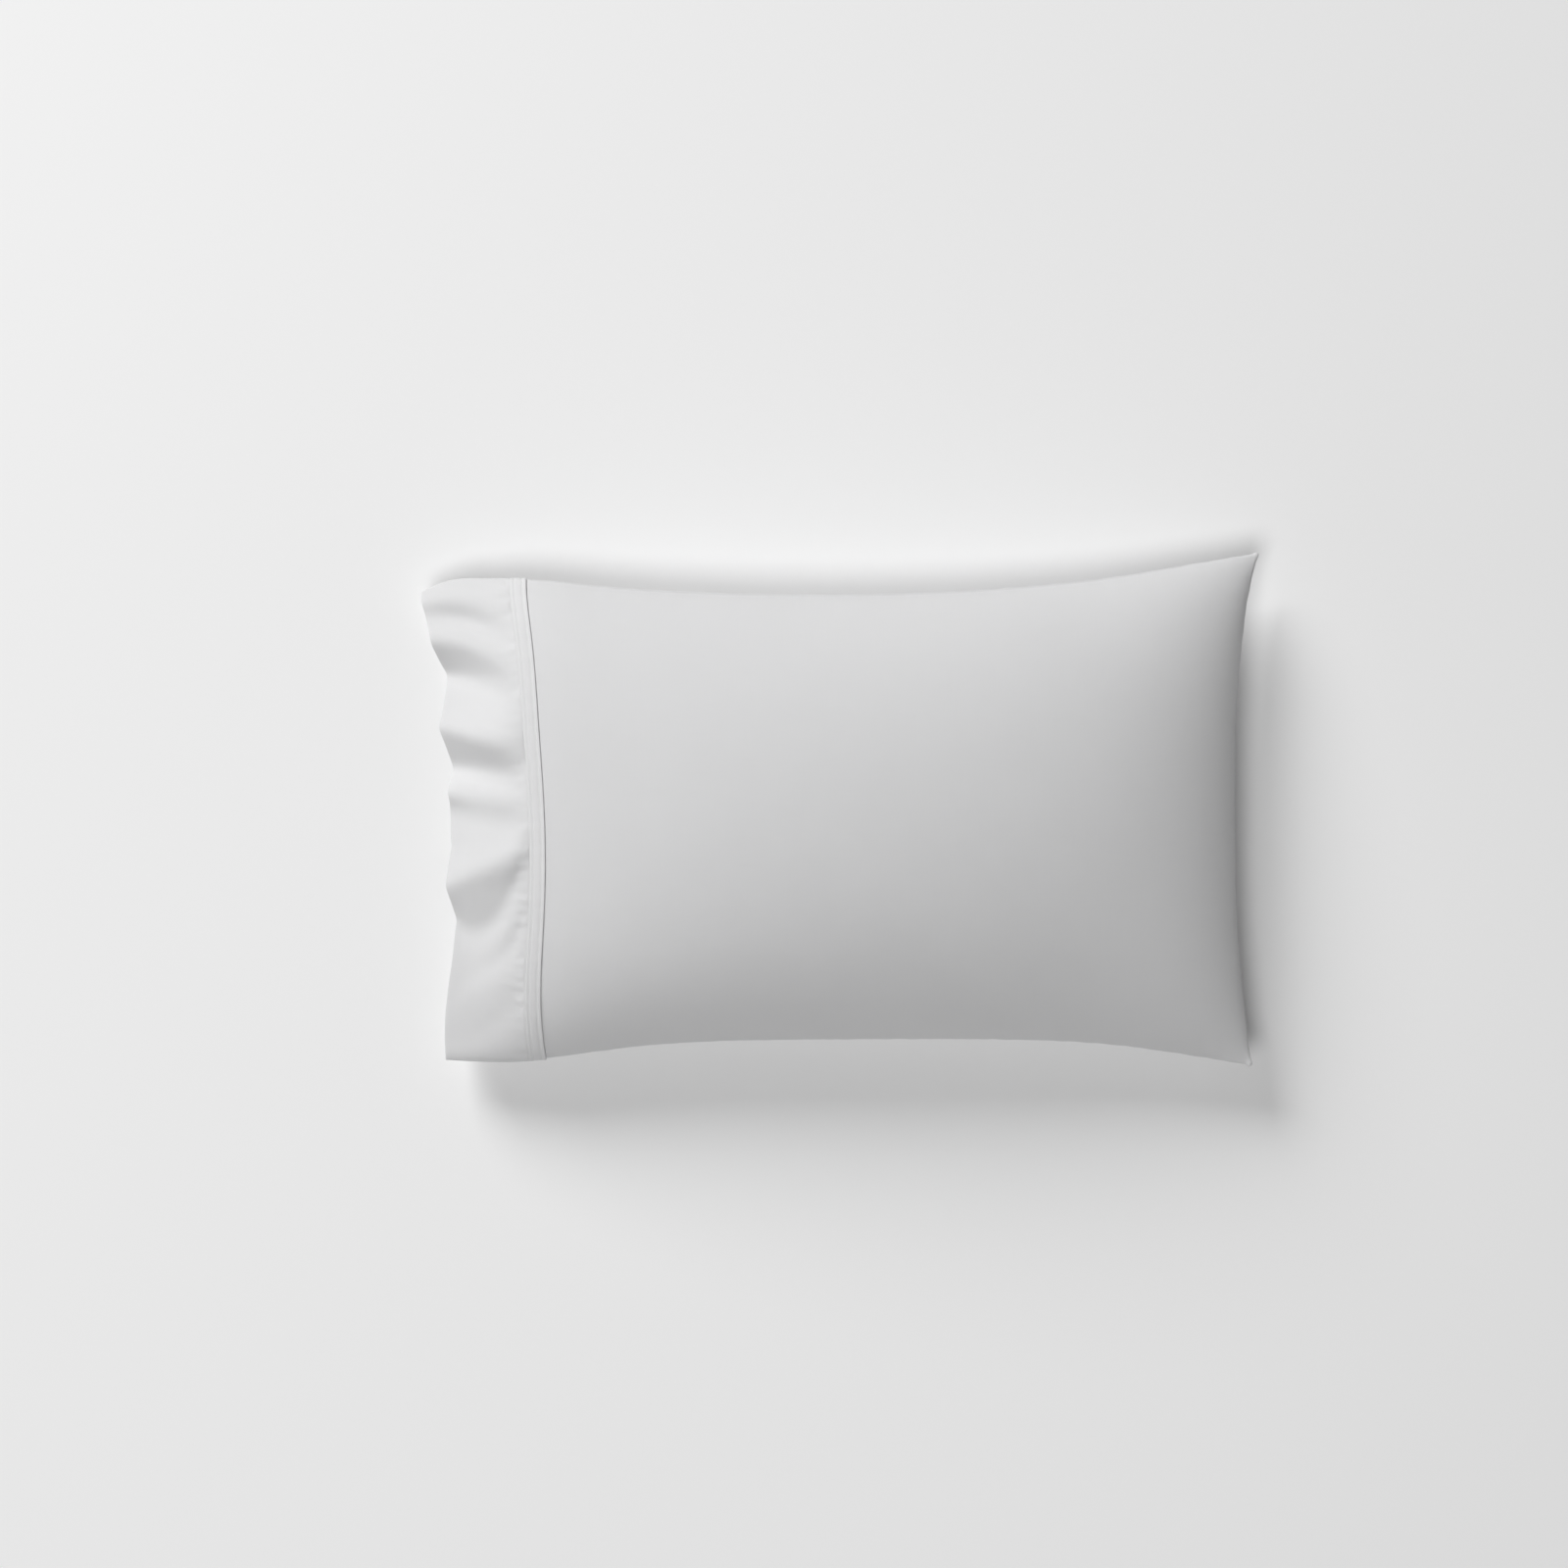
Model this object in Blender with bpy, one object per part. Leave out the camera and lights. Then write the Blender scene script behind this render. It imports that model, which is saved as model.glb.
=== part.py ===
"""A filled bed pillowcase that lies on its back, with its deep open cuff rippling past the filling.

X runs from the open cuff (-X) to the closed end (+X), Y across the case, and Z up. The origin is on the
surface that the case lies on, under the middle of its outline. The sizes below are in millimetres.
"""

from collections import namedtuple

import bpy
import numpy as np

MM = 0.001

SEAM_ROLL = 1.25  # radius of the turned edge where the front and back are sewn together
CUFF_WALL = 1.2  # the cuff's doubled cloth
CUFF_GAP = 0.3  # between the cuff's inner face and the case that it is sewn round
UNDER_CASE = CUFF_WALL + CUFF_GAP
TUCK_DEPTH = 11.0  # how far the cuff's stitched edge lies over the case

Section = namedtuple("Section", "x top bottom side crown belly boxy")
# A row for each section across the case: its place along X, its two long edges seen from above, the height
# of its side seams over the floor, how far its front rises over them, how far its back would hang under them
# if nothing held it up, and how boxy its crown is, from 0, round, to 1.
SECTIONS = (
    Section(x=-410, top=212.5, bottom=-243.0, side=40, crown=8, belly=31, boxy=0.55),
    Section(x=-385, top=222.5, bottom=-244.3, side=44, crown=12, belly=34, boxy=0.55),
    Section(x=-345, top=224.8, bottom=-245.8, side=50, crown=26, belly=41, boxy=0.60),
    Section(x=-300, top=224.6, bottom=-244.4, side=56, crown=43, belly=50, boxy=0.60),
    Section(x=-250, top=219.2, bottom=-237.8, side=60, crown=57, belly=62, boxy=0.52),
    Section(x=-190, top=213.9, bottom=-230.2, side=62, crown=70, belly=73, boxy=0.40),
    Section(x=-110, top=210.1, bottom=-225.4, side=63, crown=82, belly=80, boxy=0.28),
    Section(x=-20, top=208.9, bottom=-224.1, side=63, crown=90, belly=83, boxy=0.22),
    Section(x=80, top=210.6, bottom=-223.6, side=63, crown=94, belly=84, boxy=0.20),
    Section(x=180, top=216.6, bottom=-224.6, side=62, crown=96, belly=84, boxy=0.20),
    Section(x=260, top=225.3, bottom=-228.8, side=60, crown=97, belly=84, boxy=0.22),
    Section(x=330, top=237.0, bottom=-238.2, side=56, crown=98, belly=84, boxy=0.25),
    Section(x=410, top=250.7, bottom=-251.6, side=49, crown=99, belly=84, boxy=0.30),
)
CROWN_POWER = 0.8  # under 1 the front falls off most steeply at its long edges
BELLY_POWER = 0.55  # the same for the back
BELLY_BOXY = 0.45
END_POWER = 0.62  # the same for the front and back at the closed end
END_SHARPNESS = 4.0  # how late along the case its closed end starts to fall
END_LIFT = 8.0  # the closed end's seam is this much higher in its middle than at its corners
END_LIFT_POWER = 6  # how near the closed end that lift starts
FLOOR_EASE = 5.0  # how softly the back turns up from where it rests
CUFF_LEFT = 0.06  # share of the way to the closed end at which the case is full size again past the cuff
DRAWN_IN = 0.002  # how much narrower the case is inside the cuff

Across = namedtuple("Across", "share closed_end cuff_front cuff_back")
# A row for each place across the case, from its -Y edge (-1) to its +Y edge (1): how far along X its closed
# end is, and its cuff's stitched edge on the front and on the back.
ACROSS = (
    Across(share=-1.0, closed_end=402.5, cuff_front=-287.0, cuff_back=-287.0),
    Across(share=-0.8, closed_end=396.0, cuff_front=-289.5, cuff_back=-281.0),
    Across(share=-0.4, closed_end=387.6, cuff_front=-285.2, cuff_back=-274.0),
    Across(share=0.0, closed_end=385.8, cuff_front=-284.4, cuff_back=-271.0),
    Across(share=0.4, closed_end=387.2, cuff_front=-290.6, cuff_back=-276.0),
    Across(share=0.7, closed_end=394.0, cuff_front=-297.0, cuff_back=-287.0),
    Across(share=0.86, closed_end=400.2, cuff_front=-302.5, cuff_back=-297.0),
    Across(share=0.94, closed_end=405.0, cuff_front=-305.2, cuff_back=-303.0),
    Across(share=1.0, closed_end=409.2, cuff_front=-306.6, cuff_back=-306.6),
)

Fold = namedtuple("Fold", "hem_y hem_x edge_y bend rise")
# A row for each crest and trough of the cuff, from its -Y corner to its +Y corner: where it meets the hem,
# where it would meet the stitched edge, how late on its way from the hem it slants across (1 is a straight
# line), and how far it stands over or under the smooth sleeve at the hem.
FRONT_FOLDS = (
    Fold(hem_y=-243, hem_x=-385.4, edge_y=-243, bend=1.0, rise=0),
    Fold(hem_y=-222, hem_x=-385.8, edge_y=-161, bend=1.2, rise=-3),
    Fold(hem_y=-188, hem_x=-382.7, edge_y=-114, bend=1.2, rise=2),
    Fold(hem_y=-164, hem_x=-379.2, edge_y=-95, bend=1.3, rise=-3),
    Fold(hem_y=-134, hem_x=-375.5, edge_y=-75, bend=1.8, rise=1),
    Fold(hem_y=-107, hem_x=-372.5, edge_y=-56, bend=2.8, rise=-8),
    Fold(hem_y=-76, hem_x=-382.6, edge_y=-40, bend=3.0, rise=9),
    Fold(hem_y=-36, hem_x=-376.6, edge_y=-24, bend=2.0, rise=3),
    Fold(hem_y=0, hem_x=-378.6, edge_y=-9, bend=1.5, rise=-3),
    Fold(hem_y=17, hem_x=-381.6, edge_y=2, bend=1.3, rise=6),
    Fold(hem_y=39, hem_x=-375.6, edge_y=32, bend=1.0, rise=-12),
    Fold(hem_y=80, hem_x=-389.6, edge_y=66, bend=1.5, rise=13),
    Fold(hem_y=132, hem_x=-383.6, edge_y=94, bend=2.4, rise=-13),
    Fold(hem_y=165, hem_x=-397.0, edge_y=120, bend=1.8, rise=8),
    Fold(hem_y=184, hem_x=-402.3, edge_y=163, bend=1.6, rise=-7),
    Fold(hem_y=205, hem_x=-408.0, edge_y=178, bend=2.0, rise=8),
    Fold(hem_y=212, hem_x=-409.4, edge_y=225, bend=1.0, rise=0),
)
BACK_FOLDS = (
    Fold(hem_y=-243, hem_x=-385.4, edge_y=-243, bend=1.0, rise=0),
    Fold(hem_y=-190, hem_x=-380.0, edge_y=-180, bend=1.0, rise=-4),
    Fold(hem_y=-128, hem_x=-371.0, edge_y=-112, bend=1.4, rise=8),
    Fold(hem_y=-70, hem_x=-374.0, edge_y=-64, bend=1.0, rise=-5),
    Fold(hem_y=4, hem_x=-373.0, edge_y=-8, bend=1.6, rise=9),
    Fold(hem_y=62, hem_x=-375.0, edge_y=58, bend=1.0, rise=-5),
    Fold(hem_y=118, hem_x=-380.0, edge_y=98, bend=1.4, rise=7),
    Fold(hem_y=172, hem_x=-392.0, edge_y=160, bend=1.0, rise=-4),
    Fold(hem_y=212, hem_x=-409.4, edge_y=225, bend=1.0, rise=0),
)
HEM_CORNER_X = -385.4  # where the hem's places across are measured
FOLD_START = 0.16  # the folds die out at the cuff's rows of stitching, this share of the way to its hem
FOLD_GROWTH = 0.55  # under 1 the folds are already deep near the rows of stitching
FOLD_EDGE_POWER = 20  # how near the side seams the folds are still deep
FOLD_CRISPNESS = 0.55  # from 0, waves, to 1, flat faces with creases between them

INNER_END_REACH = 44.0  # how far the filled end bulges on into the cuff
INNER_END_BLUNTNESS = 4  # over 2 the bulge reaches nearly as far at its sides as in its middle
INNER_END_INSET = 0.10  # how much narrower it gets on the way
INNER_END_POWER = 1.0  # under 2 it falls away from the cuff early
INNER_END_ROUNDING = 0.985  # how nearly its front and back come together at its tip

SIDE_STEPS = 4  # round the turned edge, front to back
EDGE_CROWDING = 0.75  # from 0, evenly spaced steps across the case, to 1, much smaller ones at its edges
BODY_ACROSS = 32
BODY_ALONG = 28
INNER_END_STEPS = 6
CUFF_FRONT_ACROSS = 3 * BODY_ACROSS  # a multiple, so that the cuff's front follows the case's facets
FOLDS_ALONG = 10


def spline(xs, ys):
    """A function that runs smoothly, with no jump in its bend, through the given points."""
    xs, ys = np.asarray(xs, float), np.asarray(ys, float)
    gap, slope = np.diff(xs), np.diff(ys) / np.diff(xs)
    count = len(xs)
    system, target = np.eye(count), np.zeros(count)
    for i in range(1, count - 1):
        system[i, i - 1 : i + 2] = gap[i - 1], 2 * (gap[i - 1] + gap[i]), gap[i]
        target[i] = 6 * (slope[i] - slope[i - 1])
    bend = np.linalg.solve(system, target)

    def at(x):
        x = np.clip(x, xs[0], xs[-1])
        i = np.clip(np.searchsorted(xs, x) - 1, 0, count - 2)
        left, right = x - xs[i], xs[i + 1] - x
        straight = (ys[i] * right + ys[i + 1] * left) / gap[i]
        bowed = bend[i] * (right**3 / gap[i] - gap[i] * right)
        bowed += bend[i + 1] * (left**3 / gap[i] - gap[i] * left)
        return straight + bowed / 6

    return at


def column(rows, key, name):
    """One column of a table as a smooth function of another."""
    return spline([getattr(row, key) for row in rows], [getattr(row, name) for row in rows])


section = {name: column(SECTIONS, "x", name) for name in Section._fields[1:]}
across = {name: column(ACROSS, "share", name) for name in Across._fields[1:]}


def edge_y(share, x):
    """The place in Y that is this share of the way out from the middle of the case to its turned edges."""
    top = section["top"](x) - SEAM_ROLL
    bottom = section["bottom"](x) + SEAM_ROLL
    return (top + bottom) / 2 + (top - bottom) / 2 * share


def crown_shape(share, boxy, power):
    """1 in the middle of the case and 0 at its long edges."""
    inside = 1 - (1 - boxy) * share**2 - boxy * share**4
    return np.maximum(inside, 0) ** power


def resting(height, floor=0.0):
    """The height held up by the floor, or by what lies on it, turning up softly where it leaves it."""
    over = height - floor
    eased = (over + FLOOR_EASE) ** 2 / (4 * FLOOR_EASE)
    return floor + np.where(over > FLOOR_EASE, over, np.where(over < -FLOOR_EASE, 0.0, eased))


def middle_height(share, x, toward_end):
    """The height midway between front and back, where the side seams are."""
    return section["side"](x) + END_LIFT * toward_end**END_LIFT_POWER * (1 - share**2)


def front_height(share, x, toward_end):
    """The height of the front's crown."""
    rise = section["crown"](x) * (1 - toward_end**END_SHARPNESS) ** END_POWER
    shape = crown_shape(share, section["boxy"](x), CROWN_POWER)
    return middle_height(share, x, toward_end) + SEAM_ROLL + rise * shape


def back_height(share, x, toward_end):
    """The height that the back would hang to with nothing under it."""
    depth = section["belly"](x) * (1 - toward_end**END_SHARPNESS) ** END_POWER
    shape = crown_shape(share, BELLY_BOXY, BELLY_POWER)
    return middle_height(share, x, toward_end) - SEAM_ROLL - depth * shape


def case_surface(share, x, toward_end, under_cuff, front):
    """Points of the filled case, a little smaller where the cuff lies round it (under_cuff is 1)."""
    if front:
        z = front_height(share, x, toward_end)
    else:
        z = resting(back_height(share, x, toward_end), UNDER_CASE * under_cuff)
    return np.stack([x, edge_y(share * (1 - DRAWN_IN * under_cuff), x), z], -1)


def stitched_edge(share, front):
    """Where along X the cuff's stitched edge is."""
    return across["cuff_front" if front else "cuff_back"](share)


def open_case_surface(share, toward_end, front):
    """Points of the case in the open, from the cuff's stitched edge (0) to the closed end (1)."""
    start = stitched_edge(share, front)
    x = start + (across["closed_end"](share) - start) * toward_end
    under_cuff = max(1 - toward_end / CUFF_LEFT, 0)
    return case_surface(share, x, toward_end, under_cuff, front)


def tucked_case_surface(share, into_case, front):
    """Points of the case under the cuff, from where its cloth ends (0) to the cuff's stitched edge (1)."""
    x = stitched_edge(share, front) - TUCK_DEPTH * (1 - into_case)
    return case_surface(share, x, 0, 1, front)


def inner_end_surface(share, past_tuck, front):
    """Points of the filled end inside the cuff, rounding off from where the case's cloth ends (0) to 1."""
    reach = INNER_END_REACH * np.sqrt(np.maximum(1 - share**INNER_END_BLUNTNESS, 0))
    x = stitched_edge(share, front) - TUCK_DEPTH - reach * past_tuck
    middle = middle_height(share, x, 0)
    height = front_height if front else back_height
    round_off = np.sqrt(1 - INNER_END_ROUNDING * past_tuck**INNER_END_POWER)
    z = middle + (height(share, x, 0) - middle) * round_off
    if not front:
        z = resting(z, UNDER_CASE)
    inset = (1 - DRAWN_IN) * (1 - INNER_END_INSET * past_tuck)
    return np.stack([x, edge_y(share * inset, x), z], -1)


def creased(x, xs, ys):
    """A line through the given points that turns sharply at each, more so the higher FOLD_CRISPNESS is."""
    return FOLD_CRISPNESS * np.interp(x, xs, ys) + (1 - FOLD_CRISPNESS) * spline(xs, ys)(x)


def fold_rise(y, toward_hem, folds):
    """How far the ripples lift the cuff at one distance from its stitched edge."""
    places = [row.hem_y + (row.edge_y - row.hem_y) * (1 - toward_hem) ** row.bend for row in folds]
    growth = max(toward_hem - FOLD_START, 0) / (1 - FOLD_START)
    return creased(y, places, [row.rise for row in folds]) * growth**FOLD_GROWTH


def cuff_surface(share, toward_hem, front):
    """Points of the cuff's cloth, from its stitched edge (0) to its hem (1), at one distance along it."""
    folds = FRONT_FOLDS if front else BACK_FOLDS
    start = stitched_edge(share, front)
    hem = creased(edge_y(share, HEM_CORNER_X), [row.hem_y for row in folds], [row.hem_x for row in folds])
    x = start + (hem - start) * toward_hem
    y = edge_y(share, x)
    lift = fold_rise(y, toward_hem, folds) * (1 - share**FOLD_EDGE_POWER)
    z = front_height(share, x, 0) + lift if front else resting(back_height(share, x, 0) + lift, UNDER_CASE)
    return np.stack([x, y, z], -1)


def turned_edge(front_point, back_point, outward):
    """Points round the seam from front to back, at one long edge of the case."""
    centre = (front_point + back_point) / 2
    radius = (front_point[2] - back_point[2]) / 2
    turns = np.pi / 2 - np.pi * np.arange(1, SIDE_STEPS) / SIDE_STEPS
    return [centre + [0, outward * radius * np.cos(t), radius * np.sin(t)] for t in turns]


def ring(front_points, back_points):
    """One closed loop round the case: the front toward +Y, that edge, the back toward -Y, and that edge."""
    plus_edge = turned_edge(front_points[-1], back_points[-1], 1)
    minus_edge = turned_edge(front_points[0], back_points[0], -1)
    return [*front_points, *plus_edge, *back_points[::-1], *minus_edge[::-1]]


def shares(count):
    """Places across the case, closer together toward its long edges."""
    even = np.linspace(-1, 1, count + 1)
    return (1 - EDGE_CROWDING) * even + EDGE_CROWDING * np.sin(even * np.pi / 2)


def skin(rings):
    """The quads between neighbouring rings."""
    size = len(rings[0])
    return [
        (r * size + i, r * size + (i + 1) % size, (r + 1) * size + (i + 1) % size, (r + 1) * size + i)
        for r in range(len(rings) - 1)
        for i in range(size)
    ]


def cap(first, front_count, size):
    """Faces that close a ring whose front and back nearly meet."""
    after_edge = front_count + SIDE_STEPS - 1
    back = [after_edge + front_count - 1 - i for i in range(front_count)]
    strips = [(i, i + 1, back[i + 1], back[i]) for i in range(front_count - 1)]
    plus_fan = tuple(range(front_count - 1, after_edge + 1))
    minus_fan = (0, back[0], *range(back[0] + 1, size))
    return [tuple(first + i for i in face) for face in (*strips, plus_fan, minus_fan)]


def add_object(name, points, faces, material):
    """A smooth shaded object from points in millimetres."""
    mesh = bpy.data.meshes.new(name)
    mesh.from_pydata((np.asarray(points) * MM).tolist(), [], faces)
    mesh.materials.append(material)
    mesh.shade_smooth()
    obj = bpy.data.objects.new(name, mesh)
    bpy.context.scene.collection.objects.link(obj)
    return obj


def face_outwards(obj):
    """Turns every face the same way, out of the closed body."""
    bpy.context.view_layer.objects.active = obj
    obj.select_set(True)
    bpy.ops.object.mode_set(mode="EDIT")
    bpy.ops.mesh.select_all(action="SELECT")
    bpy.ops.mesh.normals_make_consistent(inside=False)
    bpy.ops.object.mode_set(mode="OBJECT")
    obj.select_set(False)


def white_cotton(name, color):
    material = bpy.data.materials.new(name)
    material.use_nodes = True
    surface = material.node_tree.nodes["Principled BSDF"]
    surface.inputs["Base Color"].default_value = (*color, 1)
    surface.inputs["Roughness"].default_value = 0.8
    surface.inputs["Metallic"].default_value = 0
    return material


def make_filled_case():
    """The case's front and back with the filling inside, as one solid with a crown on both sides."""
    stations = shares(BODY_ACROSS)
    lengths = [
        *[(inner_end_surface, past) for past in np.linspace(1, 0, INNER_END_STEPS, endpoint=False)],
        (tucked_case_surface, 0.0),
        (tucked_case_surface, 0.5),
        *[(open_case_surface, np.sin(turn)) for turn in np.linspace(0, np.pi / 2, BODY_ALONG + 1)],
    ]
    rings = [
        ring(surface(stations, along, True), surface(stations, along, False)) for surface, along in lengths
    ]
    size = len(rings[0])
    last = (len(rings) - 1) * size
    faces = skin(rings) + cap(0, BODY_ACROSS + 1, size) + cap(last, BODY_ACROSS + 1, size)
    cotton = white_cotton("case_cotton", (0.86, 0.86, 0.87))
    face_outwards(add_object("filled_case", np.concatenate(rings), faces, cotton))


def make_cuff():
    """The open sleeve of doubled cloth that is sewn round the case and runs on past the filling."""
    front = shares(CUFF_FRONT_ACROSS)
    back = shares(BODY_ACROSS)
    along = [0, FOLD_START / 2, *np.linspace(FOLD_START, 1, FOLDS_ALONG + 1)]
    rings = [ring(cuff_surface(front, step, True), cuff_surface(back, step, False)) for step in along]
    cotton = white_cotton("cuff_cotton", (0.88, 0.88, 0.89))
    cuff = add_object("cuff", np.concatenate(rings), skin(rings), cotton)
    lift = cuff.modifiers.new("clear_of_the_case", "DISPLACE")
    lift.mid_level = 0
    lift.strength = UNDER_CASE * MM
    wall = cuff.modifiers.new("doubled_cloth", "SOLIDIFY")
    wall.thickness = CUFF_WALL * MM
    wall.offset = -1
    wall.use_even_offset = True


def main():
    for old in list(bpy.data.objects):
        bpy.data.objects.remove(old)
    make_filled_case()
    make_cuff()


main()
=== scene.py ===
from collections import namedtuple

import bmesh
import bpy
import numpy as np
from mathutils import Euler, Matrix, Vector, noise


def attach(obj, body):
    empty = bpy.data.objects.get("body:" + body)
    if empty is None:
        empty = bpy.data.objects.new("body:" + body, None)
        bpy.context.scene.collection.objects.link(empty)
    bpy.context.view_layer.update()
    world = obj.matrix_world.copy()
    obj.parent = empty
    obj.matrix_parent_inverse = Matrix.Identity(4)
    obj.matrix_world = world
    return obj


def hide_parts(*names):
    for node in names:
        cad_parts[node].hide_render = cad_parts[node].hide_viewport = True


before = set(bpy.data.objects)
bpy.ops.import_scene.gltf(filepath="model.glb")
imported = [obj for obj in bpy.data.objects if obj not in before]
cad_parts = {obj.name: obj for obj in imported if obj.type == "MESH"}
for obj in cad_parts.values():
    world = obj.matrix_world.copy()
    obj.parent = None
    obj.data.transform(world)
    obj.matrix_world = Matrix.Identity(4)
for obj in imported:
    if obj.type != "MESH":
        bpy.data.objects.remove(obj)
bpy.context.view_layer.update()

# ---- The filled case ----------------------------------------------------------------------------------
# One length of white percale, folded into a front and a back and sewn down both sides and across the
# closed end, then turned right side out. The pillow in it fills it tightly, and shows only at the open end,
# where it rounds off inside the cuff. It lies on its back, which is pressed flat in the middle.

MM = 0.001  # the sizes and tables here are in millimetres, but for those that say otherwise
SEAM_ROLL = 1.25  # radius of the turned edge
UNDER_CASE = 1.5  # what the cuff's cloth lifts the case by, where it runs under it
TUCK_DEPTH = 11.0  # how far the case's cloth goes on under the cuff
CROWN_POWER = 0.8  # the crowns' shape across the case, and along it toward the closed end
BELLY_POWER = 0.55
BELLY_BOXY = 0.45
END_POWER = 0.62
END_SHARPNESS = 4.0
END_LIFT = 8.0  # how far the closed end's seam bows up between its corners
END_LIFT_POWER = 6
FLOOR_EASE = 5.0  # how softly the back turns up from the floor
CUFF_LEFT = 0.06  # past this share of its length the case is no longer drawn in by the cuff
DRAWN_IN = 0.002  # the share of its width that the case is narrower by under the cuff
INNER_END_REACH = 44.0  # how far the pillow's end comes out of the case's cloth, in the cuff
INNER_END_BLUNTNESS = 4
INNER_END_INSET = 0.10
INNER_END_ROUNDING = 0.985

# A row for each section across the case: its place along X, its two long edges seen from above, the height
# of its side seams over the floor, how far its front rises over them, how far its back would hang under them
# if nothing held it up, and how boxy its crown is, from 0, round, to 1.
Section = namedtuple("Section", "x top bottom side crown belly boxy")
SECTIONS = (
    Section(x=-410, top=212.5, bottom=-243.0, side=40, crown=11, belly=31, boxy=0.55),
    Section(x=-385, top=222.5, bottom=-244.3, side=44, crown=16, belly=34, boxy=0.55),
    Section(x=-345, top=224.8, bottom=-245.8, side=50, crown=30, belly=41, boxy=0.60),
    Section(x=-300, top=224.6, bottom=-244.4, side=56, crown=46, belly=50, boxy=0.60),
    Section(x=-250, top=219.2, bottom=-237.8, side=60, crown=58, belly=62, boxy=0.52),
    Section(x=-190, top=213.9, bottom=-230.2, side=62, crown=70, belly=73, boxy=0.40),
    Section(x=-110, top=210.1, bottom=-225.4, side=63, crown=82, belly=80, boxy=0.28),
    Section(x=-20, top=208.9, bottom=-224.1, side=63, crown=90, belly=83, boxy=0.22),
    Section(x=80, top=210.6, bottom=-223.6, side=63, crown=94, belly=84, boxy=0.20),
    Section(x=180, top=216.6, bottom=-224.6, side=62, crown=96, belly=84, boxy=0.20),
    Section(x=260, top=225.3, bottom=-228.8, side=60, crown=97, belly=84, boxy=0.22),
    Section(x=330, top=237.0, bottom=-238.2, side=56, crown=98, belly=84, boxy=0.45),
    Section(x=410, top=250.7, bottom=-251.6, side=49, crown=99, belly=84, boxy=0.80),
)
# A row for each place across the case, from its -Y edge (-1) to its +Y edge (1): how far along X its closed
# end is, and its cuff's stitched edge on the front and on the back.
Across = namedtuple("Across", "share closed_end cuff_front cuff_back")
ACROSS = (
    Across(share=-1.0, closed_end=402.5, cuff_front=-287.0, cuff_back=-287.0),
    Across(share=-0.8, closed_end=396.0, cuff_front=-289.5, cuff_back=-281.0),
    Across(share=-0.4, closed_end=387.6, cuff_front=-285.2, cuff_back=-274.0),
    Across(share=0.0, closed_end=385.8, cuff_front=-284.4, cuff_back=-271.0),
    Across(share=0.4, closed_end=387.2, cuff_front=-290.6, cuff_back=-276.0),
    Across(share=0.7, closed_end=394.0, cuff_front=-297.0, cuff_back=-287.0),
    Across(share=0.86, closed_end=400.2, cuff_front=-302.5, cuff_back=-297.0),
    Across(share=0.94, closed_end=405.0, cuff_front=-305.2, cuff_back=-303.0),
    Across(share=1.0, closed_end=409.2, cuff_front=-306.6, cuff_back=-306.6),
)

SIDE_STEPS = 6  # round the turned edge at each long side, front to back
CASE_STEPS = 126  # across the front, and across the back
EDGE_CROWDING = 0.72  # how much closer together these are toward the long edges
END_STEPS = 4  # from the front or the back to the middle of the turned edge, at each end
INNER_END_STEPS = 14  # along the pillow's end inside the cuff
OPEN_STEPS = 262  # along the case in the open
OPEN_LENGTH = 680.0  # roughly, from the cuff's stitched edge to the closed end


def spline(xs, ys):
    """A function that runs smoothly, with no jump in its bend, through the given points."""
    xs, ys = np.asarray(xs, float), np.asarray(ys, float)
    gap, slope = np.diff(xs), np.diff(ys) / np.diff(xs)
    count = len(xs)
    system, target = np.eye(count), np.zeros(count)
    for i in range(1, count - 1):
        system[i, i - 1 : i + 2] = gap[i - 1], 2 * (gap[i - 1] + gap[i]), gap[i]
        target[i] = 6 * (slope[i] - slope[i - 1])
    bend = np.linalg.solve(system, target)

    def at(x):
        x = np.clip(x, xs[0], xs[-1])
        i = np.clip(np.searchsorted(xs, x) - 1, 0, count - 2)
        left, right = x - xs[i], xs[i + 1] - x
        straight = (ys[i] * right + ys[i + 1] * left) / gap[i]
        bowed = bend[i] * (right**3 / gap[i] - gap[i] * right)
        bowed += bend[i + 1] * (left**3 / gap[i] - gap[i] * left)
        return straight + bowed / 6

    return at


def column(rows, key, name):
    """One column of a table as a smooth function of another."""
    return spline([getattr(row, key) for row in rows], [getattr(row, name) for row in rows])


section = {name: column(SECTIONS, "x", name) for name in Section._fields[1:]}
across = {name: column(ACROSS, "share", name) for name in Across._fields[1:]}


def edge_y(share, x):
    """The place in Y that is this share of the way out from the middle of the case to its turned edges."""
    top = section["top"](x) - SEAM_ROLL
    bottom = section["bottom"](x) + SEAM_ROLL
    return (top + bottom) / 2 + (top - bottom) / 2 * share


def crown_shape(share, boxy, power):
    """1 in the middle of the case and 0 at its long edges."""
    return np.maximum(1 - (1 - boxy) * share**2 - boxy * share**4, 0) ** power


def resting(height, floor):
    """The height held up by the floor, or by what lies on it, turning up softly where it leaves it."""
    over = height - floor
    eased = (over + FLOOR_EASE) ** 2 / (4 * FLOOR_EASE)
    return floor + np.where(over > FLOOR_EASE, over, np.where(over < -FLOOR_EASE, 0.0, eased))


def middle_height(share, x, toward_end):
    """The height midway between front and back, where the side seams are."""
    return section["side"](x) + END_LIFT * toward_end**END_LIFT_POWER * (1 - share**2)


def front_height(share, x, toward_end):
    """The height of the front's crown."""
    rise = section["crown"](x) * (1 - toward_end**END_SHARPNESS) ** END_POWER
    shape = crown_shape(share, section["boxy"](x), CROWN_POWER)
    return middle_height(share, x, toward_end) + SEAM_ROLL + rise * shape


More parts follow.
